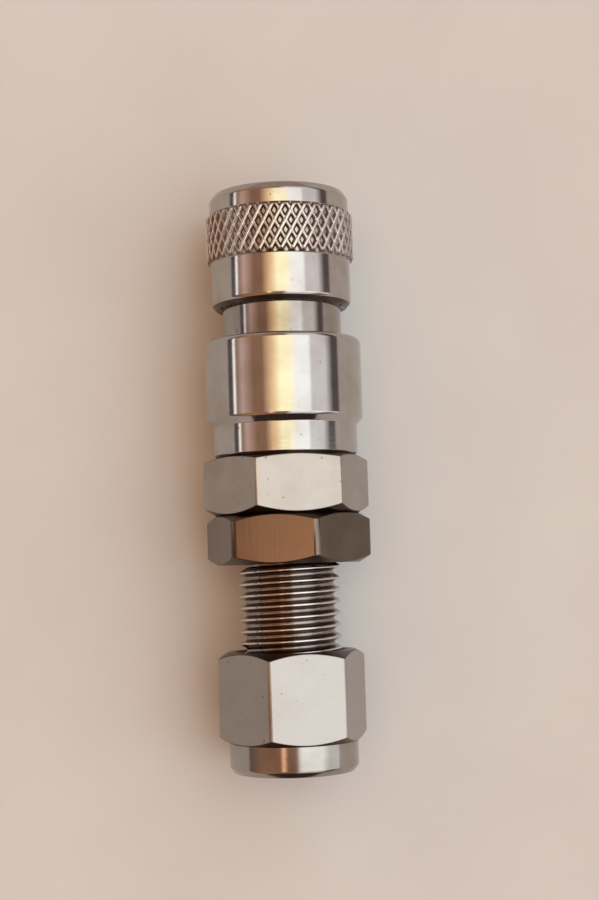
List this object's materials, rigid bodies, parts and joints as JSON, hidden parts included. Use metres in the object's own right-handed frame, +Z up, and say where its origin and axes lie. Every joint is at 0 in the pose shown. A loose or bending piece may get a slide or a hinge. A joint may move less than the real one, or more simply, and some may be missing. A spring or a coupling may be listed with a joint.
{
  "type": "quick connect coupling",
  "caption": "Bulkhead quick connect coupling body: knurled ball-lock sleeve, shut-off valve, hexagon with jam nut and a compression tube fitting.",
  "frame": {"origin": "centre of the bounding box's underside, with the coupling lying on its side on z = 0", "axes": "+Y along the flow axis towards the socket mouth, +Z up, +X to the right in the picture"},
  "size_m": [0.018, 0.063, 0.0172],
  "materials": {
    "sleeve_steel": "turned and polished stainless steel, knurled grip",
    "housing_steel": "turned and polished stainless steel",
    "adapter_steel": "satin stainless steel hexagon bar with cut thread",
    "jam_nut_steel": "satin stainless steel hexagon bar",
    "tube_nut_steel": "satin stainless steel hexagon bar",
    "ferrule_steel": "machined stainless steel",
    "poppet_steel": "machined stainless steel",
    "ring_steel": "stainless spring steel strip",
    "spring_steel": "drawn stainless spring wire",
    "ball_steel": "ground and polished stainless steel",
    "seal_rubber": "black moulded rubber"
  },
  "bodies": {
    "coupling_body": {"housing": "housing_steel", "adapter": "adapter_steel", "stem_seal": "seal_rubber", "adapter_seal": "seal_rubber", "sleeve_retaining_ring": "ring_steel", "sleeve_spring": "spring_steel", "poppet_spring": "spring_steel"},
    "sleeve": {"sleeve": "sleeve_steel"},
    "poppet": {"poppet": "poppet_steel", "poppet_seal": "seal_rubber"},
    "ball_1": {"locking_ball_1": "ball_steel"},
    "ball_2": {"locking_ball_2": "ball_steel"},
    "ball_3": {"locking_ball_3": "ball_steel"},
    "ball_4": {"locking_ball_4": "ball_steel"},
    "ball_5": {"locking_ball_5": "ball_steel"},
    "ball_6": {"locking_ball_6": "ball_steel"},
    "jam_nut": {"jam_nut": "jam_nut_steel"},
    "ferrules": {"front_ferrule": "ferrule_steel", "back_ferrule": "ferrule_steel"},
    "tube_nut": {"tube_nut": "tube_nut_steel"}
  },
  "joints": [
    {"name": "sleeve_slide", "type": "slide", "parent": "coupling_body", "child": "sleeve", "axis": [0, -1, 0], "range_m": [0, 0.0024], "stiffness_N_per_m": 800, "springref_m": -0.006, "deforming": ["sleeve_spring"]},
    {"name": "poppet_slide", "type": "slide", "parent": "coupling_body", "child": "poppet", "axis": [0, -1, 0], "range_m": [0, 0.003], "stiffness_N_per_m": 600, "springref_m": -0.005, "deforming": ["poppet_spring"]},
    {"name": "ball_1_slide", "type": "slide", "parent": "coupling_body", "child": "ball_1", "axis": [0.5, 0, 0.866], "range_m": [0, 0.00085]},
    {"name": "ball_2_slide", "type": "slide", "parent": "coupling_body", "child": "ball_2", "axis": [1, 0, 0], "range_m": [0, 0.00085]},
    {"name": "ball_3_slide", "type": "slide", "parent": "coupling_body", "child": "ball_3", "axis": [0.5, 0, -0.866], "range_m": [0, 0.00085]},
    {"name": "ball_4_slide", "type": "slide", "parent": "coupling_body", "child": "ball_4", "axis": [-0.5, 0, -0.866], "range_m": [0, 0.00085]},
    {"name": "ball_5_slide", "type": "slide", "parent": "coupling_body", "child": "ball_5", "axis": [-1, 0, 0], "range_m": [0, 0.00085]},
    {"name": "ball_6_slide", "type": "slide", "parent": "coupling_body", "child": "ball_6", "axis": [-0.5, 0, 0.866], "range_m": [0, 0.00085]},
    {"name": "jam_nut_slide", "type": "slide", "parent": "coupling_body", "child": "jam_nut", "axis": [0, -1, 0], "range_m": [0, 0.009]},
    {"name": "ferrule_slide", "type": "slide", "parent": "coupling_body", "child": "ferrules", "axis": [0, -1, 0], "range_m": [0, 0.0064]},
    {"name": "tube_nut_turn", "type": "hinge", "parent": "ferrules", "child": "tube_nut", "pos_m": [0, -0.0283, 0.0086], "axis": [0, -1, 0], "range_deg": [0, 1800]}
  ],
  "couplings": [
    {"joint": "ball_1_slide", "follows": "sleeve_slide", "ratio": 0.35417},
    {"joint": "ball_2_slide", "follows": "sleeve_slide", "ratio": 0.35417},
    {"joint": "ball_3_slide", "follows": "sleeve_slide", "ratio": 0.35417},
    {"joint": "ball_4_slide", "follows": "sleeve_slide", "ratio": 0.35417},
    {"joint": "ball_5_slide", "follows": "sleeve_slide", "ratio": 0.35417},
    {"joint": "ball_6_slide", "follows": "sleeve_slide", "ratio": 0.35417},
    {"joint": "ferrule_slide", "follows": "tube_nut_turn", "m_per_rad": 0.00020213}
  ]
}
